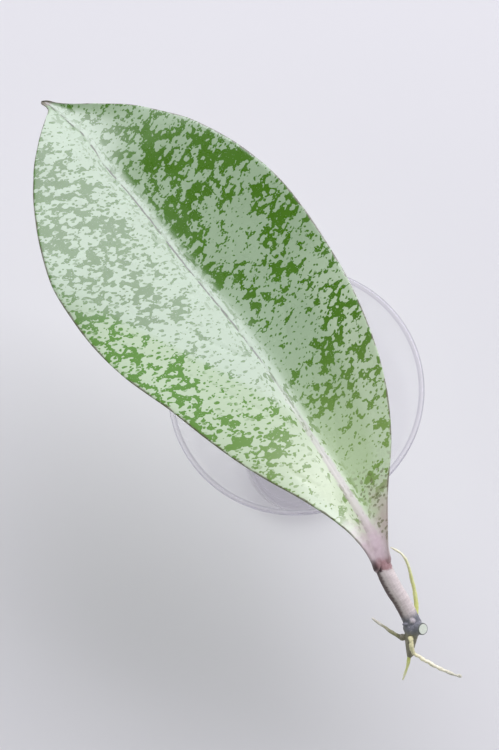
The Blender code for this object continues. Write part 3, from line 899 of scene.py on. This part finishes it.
def glass_material():
    """Clear glass with a faint ripple; it lets most light through to the floor."""
    material, tree, shader = new_material("clear tumbler glass")
    place = object_place(tree)
    ripple = noise(place, 55.0)
    smear = noise(place, 140.0, 3.0, 0.6)
    feed(shader, {
        "Base Color": mix(ripple, (246, 246, 251), (250, 250, 253)),
        "Roughness": span(smear, 0.45, 0.8, 0.0, 0.035, smooth=False),
        "Normal": bump(ripple, 0.12, 0.3 * MM),
        "Metallic": 0.0,
        "IOR": 1.47,
        "Transmission Weight": 1.0,
    })

    # Light that goes straight through stays clear in the wall; the grey at the foot and the lilac grey in the
    # lip, darker at its inner side and its edges, are painted shade standing in for light bent and reflected
    # in the thick glass
    x, y, height = split(place)
    radius = vector_calc("LENGTH", join(x, y), output="Value")
    lip_start = RIM_HEIGHT - WALL / 2
    lip = span(height, lip_start - 0.15 * MM, lip_start)
    foot = span(height, 5.0 * MM, 3.5 * MM)
    edge_on = span(result(tree, "ShaderNodeLayerWeight", "Facing", {"Blend": 0.5}), 0.06, 0.35)
    wall_veil_with_painted_foot_shade = mix(foot, (0.995, 0.995, 0.996, 1.0), (0.84, 0.83, 0.85, 1.0))
    inward = span(radius, RIM_RADIUS - 0.45 * WALL, RIM_RADIUS - 0.75 * WALL)
    lip_painted_shade = mix(inward, (0.9, 0.87, 0.92, 1.0), (0.74, 0.7, 0.75, 1.0))
    lip_painted_shade = mix(edge_on, lip_painted_shade, (0.55, 0.53, 0.6, 1.0))
    passing = result(tree, "ShaderNodeBsdfTransparent", 0, {"Color": mix(lip, wall_veil_with_painted_foot_shade, lip_painted_shade)})
    rays = add(tree, "ShaderNodeLightPath").outputs
    unseen = calc("MAXIMUM", Value(rays["Is Shadow Ray"]), Value(rays["Is Diffuse Ray"]))
    share = calc("MAXIMUM", unseen, blend_values(lip, 0.82, 0.45))
    inputs = {"Fac": share, 1: Value(shader.outputs[0]), 2: passing}
    either = result(tree, "ShaderNodeMixShader", 0, inputs)
    feed(tree.nodes["Material Output"], {"Surface": either})
    return material


def floor_material():
    material, tree, shader = new_material("pale floor")
    tone = mixed_tones(object_place(tree), 2.5, 3.0, (219, 223, 216), (224, 228, 220))
    feed(shader, {"Base Color": tone, "Roughness": 0.75, "Specular IOR Level": 0.2})
    return material


# Tumbler

def tumbler_profile():
    """Half section from the inner floor up the inside, over the lip and down the outside."""
    lip = WALL / 2
    lean = math.degrees(math.atan2(RIM_RADIUS - BASE_RADIUS, RIM_HEIGHT))
    corner_height = FLOOR_THICKNESS + INNER_ROUNDING
    inner_foot = BASE_RADIUS - WALL + (RIM_RADIUS - BASE_RADIUS) * corner_height / RIM_HEIGHT
    corner_centre = (inner_foot - INNER_ROUNDING, corner_height)
    corner = arc(corner_centre, INNER_ROUNDING, -90, -lean, 8)
    mouth = arc((RIM_RADIUS - lip, RIM_HEIGHT - lip), lip, 180, 0, 16)
    foot = arc((BASE_RADIUS - FOOT_ROUNDING, FOOT_ROUNDING), FOOT_ROUNDING, 0, -90, 8)

    def run(start, end, count):
        """Evenly spaced points between two ends, without the ends."""
        return [tuple(point) for point in np.linspace(start, end, count + 2)[1:-1]]

    floor_centre, under_centre = (0.0, FLOOR_THICKNESS), (0.0, 0.0)
    profile = [floor_centre] + run(floor_centre, corner[0], 4) + corner
    profile += run(corner[-1], mouth[0], 8) + mouth + run(mouth[-1], foot[0], 8) + foot
    return profile + run(foot[-1], under_centre, 4) + [under_centre]


def build_tumbler():
    """The turned glass, with a fine mesh so that it bends light smoothly."""
    mesh = bpy.data.meshes.new("tumbler_profile")
    profile = tumbler_profile()
    edges = [(index, index + 1) for index in range(len(profile) - 1)]
    mesh.from_pydata([(radius, 0.0, height) for radius, height in profile], edges, [])
    turned = link("tumbler_profile", mesh)
    screw = turned.modifiers.new("turn", "SCREW")
    screw.angle = math.tau
    screw.steps = GLASS_SIDES
    screw.render_steps = GLASS_SIDES
    screw.use_merge_vertices = True
    screw.merge_threshold = GLASS_WELD
    screw.use_smooth_shade = True
    glass = plain_mesh(turned, "tumbler_glass")
    glass.data.materials.append(glass_material())
    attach(glass, "root")
    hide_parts("tumbler")


# Blade

def closing_share(rows):
    """How far each row keeps its width: 1 along the leaf, falling to 0 in a round end at both ends."""
    from_base = np.clip((rows + BASE_OVERRUN) / BASE_ROUNDING, 0.0, 1.0)
    from_tip = np.clip((BLADE_LENGTH - rows) / TIP_ROUNDING, 0.0, 1.0)
    return np.sqrt(1 - (1 - from_base) ** 2) * np.sqrt(1 - (1 - from_tip) ** 2)


def around_the_blade():
    """Share, face and outward lean of each column of a loop round the blade's section."""
    def eased(count):
        steps = np.linspace(1.0, -1.0, count)
        return steps * (0.5 + 0.5 * steps**2)

    edge = np.linspace(math.pi / 2, -math.pi / 2, EDGE_COLUMNS + 2)[1:-1]
    upper, lower = eased(UPPER_COLUMNS), eased(LOWER_COLUMNS)
    share = np.concatenate([upper, np.full(EDGE_COLUMNS, -1.0), -lower, np.full(EDGE_COLUMNS, 1.0)])
    face = np.concatenate([np.ones(UPPER_COLUMNS), np.sin(edge), -np.ones(LOWER_COLUMNS), -np.sin(edge)])
    lean_out = np.concatenate([np.zeros(UPPER_COLUMNS), -np.cos(edge), np.zeros(LOWER_COLUMNS), np.cos(edge)])
    return share, face, lean_out


def green_bias(distance, side):
    """More green in the named patches, more silver in the others and beside the outer midrib."""
    total = np.zeros_like(distance)
    for sign, patches in ((1.0, GREEN_PATCHES), (-1.0, SILVER_PATCHES)):
        for along, across, radius, strength in patches:
            apart = (distance / MM - along) ** 2 + (side / MM - across) ** 2
            total += sign * strength * np.exp(-apart / radius**2)
    strength, start, rise, width = MIDRIB_SILVER
    past_start = np.clip((distance / MM - start) / rise, 0, 1)
    return total - strength * past_start * np.exp(-((side / MM / width) ** 2))


def blade_sheet():
    """The blade laid out flat as a closed loop of columns, with the values that give it its form."""
    share, face, lean_out = around_the_blade()
    pace = np.linspace(0.0, 1.0, BLADE_ROWS)
    spread = pace + ROW_CROWDING * np.sin(pace * math.tau) / math.pi
    rows = -BASE_OVERRUN + (BLADE_LENGTH + BASE_OVERRUN) * spread
    widths = smooth_through(BLADE_OUTLINE, rows / MM) * MM
    sway = smooth_through(MIDRIB_SWAY, rows / MM)[:, 0] * MM
    bow = smooth_through(MIDRIB_BOW, rows / MM)[:, 0] * MM
    columns = len(share)
    reach = np.where(share > 0, widths[:, :1], widths[:, 1:]) - MARGIN_FLESH
    reach = np.maximum(reach, NARROWEST_REACH)
    shrink = closing_share(rows)

    mesh = bpy.data.meshes.new("blade_sheet")
    corners = [(row, column, 0.0) for row in range(BLADE_ROWS) for column in range(columns)]
    faces = []
    for row in range(BLADE_ROWS - 1):
        for column in range(columns):
            beside = (column + 1) % columns
            first, second = row * columns, (row + 1) * columns
            faces.append((first + column, first + beside, second + beside, second + column))
    mesh.from_pydata(corners, [], faces)

    distance, sway = rows[:, None], sway[:, None]
    side = share * reach * shrink[:, None] + sway
    values = {
        "distance": distance,
        "share": share,
        "face": face,
        "outward": lean_out,
        "reach": reach,
        "shrink": shrink[:, None],
        "sway": sway,
        "bow": bow[:, None],
        "to_margin": (1 - np.abs(share)) * reach / MM,
        "green_bias": green_bias(np.broadcast_to(distance, side.shape), side),
    }
    for name, value in values.items():
        store(mesh, name, np.broadcast_to(value, side.shape).ravel())
    return link("blade_sheet", mesh)


def seat_on_rim(blade):
    """Lower or raise the blade so that its lowest place over the lip just clears the glass."""
    lip = WALL / 2
    tree = BVHTree.FromPolygons(
        [vertex.co for vertex in blade.data.vertices],
        [polygon.vertices for polygon in blade.data.polygons],
    )
    gaps = []
    for turn in np.linspace(0.0, math.tau, RIM_STOPS, endpoint=False):
        for across in np.linspace(-0.9, 0.9, LIP_STOPS):
            radius = RIM_RADIUS - lip + across * lip
            crest = RIM_HEIGHT - lip + lip * math.sqrt(1 - across**2)
            below = Vector((radius * math.cos(turn), radius * math.sin(turn), 0.0))
            hit = tree.ray_cast(below, Vector((0.0, 0.0, 1.0)))[0]
            if hit is not None:
                gaps.append(hit.z - crest)
    blade.data.transform(Matrix.Translation((0.0, 0.0, RIM_CLEARANCE - min(gaps))))


def build_blade():
    """The leaf blade, formed, laid in its place and seated on the rim."""
    formed = run_tree(blade_sheet(), blade_tree(), BLADE_SIZES, leaf_material(), "splashed_leaf_blade")
    place = Matrix.Translation((*BLADE_BASE, RIM_HEIGHT)) @ Matrix.Rotation(BLADE_HEADING, 4, "Z")
    formed.data.transform(place)
    seat_on_rim(formed)
    face_outwards(formed.data)
    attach(formed, "root")
    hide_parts("leaf_blade")


# Petiole and stem node, cut from one smooth body so that they run into each other

def petiole_path():
    """Centre line from inside the blade's base to the node's collar, and the radius along it."""
    foot = Vector((*BLADE_BASE, PETIOLE_HEIGHT)) + BLADE_LEFT * PETIOLE_ASIDE
    route = [foot + BLADE_DIRECTION * inside for inside in PETIOLE_STARTS]
    route += [Vector(point) * MM for point in PETIOLE_ROUTE] + [COLLAR_END]
    points = smooth_route(route, 8)
    given = np.column_stack([np.linspace(0.0, 1.0, len(PETIOLE_RADII)), PETIOLE_RADII])
    radii = smooth_through(given, np.linspace(0.0, 1.0, len(points)))
    return points, radii[:, 0] * MM


def swept_tube(name, points, radii):
    """A mesh tube through points, with a radius for each and closed ends."""
    tube = path_object(name, points)
    tube.data.bevel_depth = 1.0
    tube.data.bevel_resolution = TUBE_SIDES // 4 - 1
    tube.data.use_fill_caps = True
    for knot, radius in zip(tube.data.splines[0].points, radii):
        knot.radius = radius
    tube = plain_mesh(tube, name)
    face_outwards(tube.data, TUBE_WELD)
    return tube


def ball(shape, centre, radius, stretch=(1.0, 1.0, 1.0)):
    place = Matrix.Translation(centre) @ Matrix.Diagonal((*stretch, 1.0))
    bmesh.ops.create_uvsphere(shape, u_segments=36, v_segments=20, radius=radius, matrix=place)


def cone(shape, start, end, radius_start, radius_end):
    turn = (end - start).to_track_quat("Z", "Y").to_matrix().to_4x4()
    place = Matrix.Translation((start + end) / 2) @ turn
    bmesh.ops.create_cone(
        shape,
        cap_ends=True,
        segments=40,
        radius1=radius_start,
        radius2=radius_end,
        depth=(end - start).length,
        matrix=place,
    )


def stem_body():
    """Petiole, swollen joint, cut stem, bud, root boss and tapered stub, melted into one smooth body."""
    tube = swept_tube("stem_body", *petiole_path())
    shape = bmesh.new()
    shape.from_mesh(tube.data)
    ball(shape, NODE_CENTRE, NODE_RADIUS, (1.0, 1.08, 0.95))
    ball(shape, COLLAR_END, COLLAR_RADIUS)
    cone(shape, CUT_CENTRE - CUT_FACING * CUT_LENGTH, CUT_CENTRE, CUT_RADIUS * CUT_FLARE, CUT_RADIUS)
    ball(shape, BUD_CENTRE, BUD_RADIUS, (1.0, 1.25, 0.9))
    ball(shape, BUD_SCALE_CENTRE, BUD_SCALE_RADIUS, (1.6, 0.8, 0.7))
    start_radius, bend_radius, end_radius = STUB_RADII
    cone(shape, NODE_CENTRE, STUB_BEND, start_radius, bend_radius)
    ball(shape, STUB_BEND, bend_radius)
    cone(shape, STUB_BEND, STUB_END, bend_radius, end_radius)
    ball(shape, STUB_END, STUB_TIP_RADIUS)
    ball(shape, STUB_KNOB_CENTRE, STUB_KNOB_RADIUS)
    ball(shape, Vector(ROOT_LEFT[1]) * MM, ROOT_BOSS_RADIUS)
    shape.to_mesh(tube.data)
    shape.free()
    melt = tube.modifiers.new("melt", "REMESH")
    melt.mode = "VOXEL"
    melt.voxel_size = STEM_VOXEL
    melt.use_smooth_shade = True
    calm = tube.modifiers.new("calm", "SMOOTH")
    calm.iterations = STEM_SMOOTHING
    return plain_mesh(tube, "stem_body")


def mark_stem(mesh):
    """Store how far down the stalk each vertex lies, and where the left flank that takes painted shade, the
    bud and the cut face are.
    """
    path = np.array(petiole_path()[0])
    tail = smooth_route([NODE_CENTRE, STUB_END], 12)
    path = np.vstack([path, tail[1:]])
    points = mesh_points(mesh)
    nearest = np.argmin(((points[:, None, :] - path[None, :, :]) ** 2).sum(axis=2), axis=1)
    heading = np.gradient(path, axis=0)[nearest]
    heading /= np.linalg.norm(heading, axis=1)[:, None]
    away = points - path[nearest]
    leftward = np.cross(heading, (0.0, 0.0, 1.0))
    leftward /= np.linalg.norm(leftward, axis=1)[:, None]
    store(mesh, "stalk", (distance_along(path)[nearest] + (away * heading).sum(axis=1)) / MM)
    store(mesh, "shaded_left_flank", (away * leftward).sum(axis=1) / FLANK_WIDTH)
    bud_distance = np.linalg.norm(points - np.array(BUD_CENTRE), axis=1)
    store(mesh, "bud", np.clip(1.9 - bud_distance / BUD_RADIUS, 0, 1))
    from_cut = points - np.array(CUT_CENTRE)
    facing = np.array(CUT_FACING)
    height = from_cut @ facing
    radial = np.linalg.norm(from_cut - height[:, None] * facing, axis=1)
    on_face = np.clip((height + 0.3 * MM) / (0.2 * MM), 0, 1)
    store(mesh, "cut_face", on_face * np.clip(1.06 - radial / CUT_RADIUS, 0, 1))


STEM_SIZES = {
    "Crack height": 0.10 * MM,
    "Crack spacing": 0.6 * MM,
    "Lump height": 0.16 * MM,
    "Lump size": 2.2 * MM,
    "Seed": 2.0,
}


def stem_tree():
    """Raise the stem's skin: cracks across it and soft lumps, but none on the cut face."""
    tree, size = geometry_tree("Stem relief", STEM_SIZES)
    place = result(tree, "GeometryNodeInputPosition", "Position")
    x, _, z = split(place)
    stalk = named(tree, "stalk") * MM
    along_cracks = size["Crack spacing"] * 3.5
    rings = join(stalk / size["Crack spacing"], x / along_cracks, z / along_cracks)
    cracks = noise(rings, 1.0, 3.0, 0.6) - 0.5
    seeded = vector_calc("ADD", place, join(size["Seed"]))
    lumps = noise(seeded, 1.0 / size["Lump size"], 3.0, 0.55) - 0.5
    height = lumps * size["Lump height"] + cracks * size["Crack height"]
    below_wine = span(stalk, 5.5 * MM, 7.0 * MM, 0.25, 1.0)
    skin_only = span(named(tree, "cut_face"), 0.0, 0.1, 1.0, 0.0)
    raised = pushed_out(tree, size["Geometry"], height * below_wine * skin_only)
    close_tree(tree, raised, size["Skin"])
    return tree


def cut_off(source, name, point, direction):
    """A copy of a closed body without what lies past a plane, with the cut closed."""
    piece = link(name, source.data.copy())
    work = bmesh.new()
    work.from_mesh(piece.data)
    everything = work.verts[:] + work.edges[:] + work.faces[:]
    cut = bmesh.ops.bisect_plane(
        work,
        geom=everything,
        dist=CUT_TOLERANCE,
        plane_co=point,
        plane_no=direction,
        clear_outer=True,
    )["geom_cut"]
    edges = [element for element in cut if isinstance(element, bmesh.types.BMEdge)]
    cap = bmesh.ops.edgeloop_fill(work, edges=edges)["faces"]
    for element in cap + edges:
        element.smooth = False
    work.to_mesh(piece.data)
    work.free()
    return piece


def build_stem():
    """The petiole and the stem node, parted at the collar."""
    body = stem_body()
    mark_stem(body.data)
    body = run_tree(body, stem_tree(), STEM_SIZES, stem_material(), "stem_body")
    direction = (COLLAR_END - Vector(PETIOLE_ROUTE[-1]) * MM).normalized()
    petiole = cut_off(body, "scurfy_petiole", SPLIT_POINT, direction)
    node = cut_off(body, "stem_node_and_bud", SPLIT_POINT, -direction)
    bpy.data.objects.remove(body, do_unlink=True)
    for piece, cad_node, slot in ((petiole, "petiole", "petiole_skin"), (node, "stem_node", "node_bark")):
        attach(piece, "root")
        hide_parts(cad_node)


# Roots

def build_roots():
    """One piece for each root, along the same route as its solid."""
    tree = root_tree()
    olive = root_material("old root skin", (76, 78, 44), (156, 158, 112), (222, 222, 200))
    pale = root_material("pale root skin", (226, 224, 168), (244, 243, 206), (196, 198, 172))
    green = root_material("green root skin", (206, 216, 116), (218, 226, 148), (242, 245, 204))
    # Name, solid, route, then start radius, end radius and knob height in millimetres, skin and slot
    kinds = (
        ("old_root_left", "root_left", ROOT_LEFT, (0.58, 0.26, 0.60), olive, "old_root"),
        ("short_root_down", "root_down", ROOT_DOWN, (0.50, 0.18, 0.50), green, "green_root"),
        ("pale_root_right", "root_right", ROOT_RIGHT, (0.48, 0.34, 1.20), pale, "pale_root"),
        ("aerial_root", "root_aerial", ROOT_AERIAL, (0.66, 0.22, 0.40), green, "green_root"),
    )
    for seed, (name, cad_node, route, form, skin, slot) in enumerate(kinds):
        path = path_object(name + "_path", smooth_route(np.array(route) * MM, 10))
        sizes = {**ROOT_SIZES, "Seed": seed}
        for label, value in zip(("Start radius", "End radius", "Knob height"), form):
            sizes[label] = value * MM
        root = run_tree(path, tree, sizes, skin, name)
        face_outwards(root.data)
        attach(root, "root")
        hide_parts(cad_node)


# Room

def build_floor():
    """A wide pale floor."""
    bpy.ops.mesh.primitive_plane_add(size=6.0, location=(0, 0, 0))
    floor = bpy.context.object
    floor.name = "floor"
    floor.data.materials.append(floor_material())


# The photograph's view: the camera looks down past the front of the tumbler
FRAME_PIXELS = (499, 750)
FOCAL_PIXELS = 1500.0
RIM_CENTRE_PIXEL = (295.5, 388.0)
RIM_RADIUS_PIXELS = 128.5
VIEW_AZIMUTH = math.radians(13.6)
VIEW_ELEVATION = math.radians(74.5)


def build_camera():
    """Place the camera so that the rim falls where the photograph shows it, with image right along +X."""
    forward = Vector((
        -math.sin(VIEW_AZIMUTH) * math.cos(VIEW_ELEVATION),
        math.cos(VIEW_AZIMUTH) * math.cos(VIEW_ELEVATION),
        -math.sin(VIEW_ELEVATION),
    ))
    level_right = Vector((math.cos(VIEW_AZIMUTH), math.sin(VIEW_AZIMUTH), 0.0))
    level_up = level_right.cross(forward)
    right = level_right * math.cos(VIEW_AZIMUTH) - level_up * math.sin(VIEW_AZIMUTH)
    up = level_right * math.sin(VIEW_AZIMUTH) + level_up * math.cos(VIEW_AZIMUTH)
    distance = RIM_RADIUS / RIM_RADIUS_PIXELS * FOCAL_PIXELS
    aside = (RIM_CENTRE_PIXEL[0] - FRAME_PIXELS[0] / 2) / FOCAL_PIXELS * distance
    above = (FRAME_PIXELS[1] / 2 - RIM_CENTRE_PIXEL[1]) / FOCAL_PIXELS * distance
    place = Vector((0.0, 0.0, RIM_HEIGHT)) - forward * distance - right * aside - up * above
    data = bpy.data.cameras.new("camera")
    data.sensor_width = 36.0
    data.lens = FOCAL_PIXELS / max(FRAME_PIXELS) * data.sensor_width
    data.clip_start = 0.01
    camera = link("camera", data)
    turn = Matrix((right, up, -forward)).transposed().to_4x4()
    camera.matrix_world = Matrix.Translation(place) @ turn
    bpy.context.scene.camera = camera


LIGHT_AIM = Vector((-10 * MM, 10 * MM, RIM_HEIGHT))


def area_light(name, direction, distance, width, height, brightness, colour):
    """A soft light of a given size and surface brightness, aimed at the leaf."""
    towards = Vector(direction).normalized()
    data = bpy.data.lights.new(name, "AREA")
    data.shape = "RECTANGLE"
    data.size = width
    data.size_y = height
    data.energy = brightness * math.pi * width * height
    data.color = colour
    light = link(name, data)
    light.location = LIGHT_AIM + towards * distance
    light.rotation_euler = towards.to_track_quat("Z", "Y").to_euler()


def build_lights():
    """A wide window at the back, a weak light opposite, and a soft bright room."""
    area_light("window", (0.24, 0.68, 0.70), 2.4, 3.5, 1.57, brightness=5.75, colour=(0.885, 0.825, 1.0))
    area_light("fill", (-0.6, -0.5, 0.6), 1.2, 1.0, 1.0, brightness=0.3, colour=(0.95, 0.96, 1.0))
    world = bpy.data.worlds.new("soft room")
    world.use_nodes = True
    tree = world.node_tree
    _, _, height = split(result(tree, "ShaderNodeTexCoord", "Generated"))
    brightness = span(height, 0.0, 0.85, 0.9, 0.06, smooth=False)
    feed(tree.nodes["Background"], {"Color": (0.95, 0.95, 1.0, 1.0), "Strength": brightness})
    bpy.context.scene.world = world
    bpy.context.scene.view_settings.view_transform = "Standard"


build_camera()
build_lights()
build_floor()
build_tumbler()
build_blade()
build_stem()
build_roots()
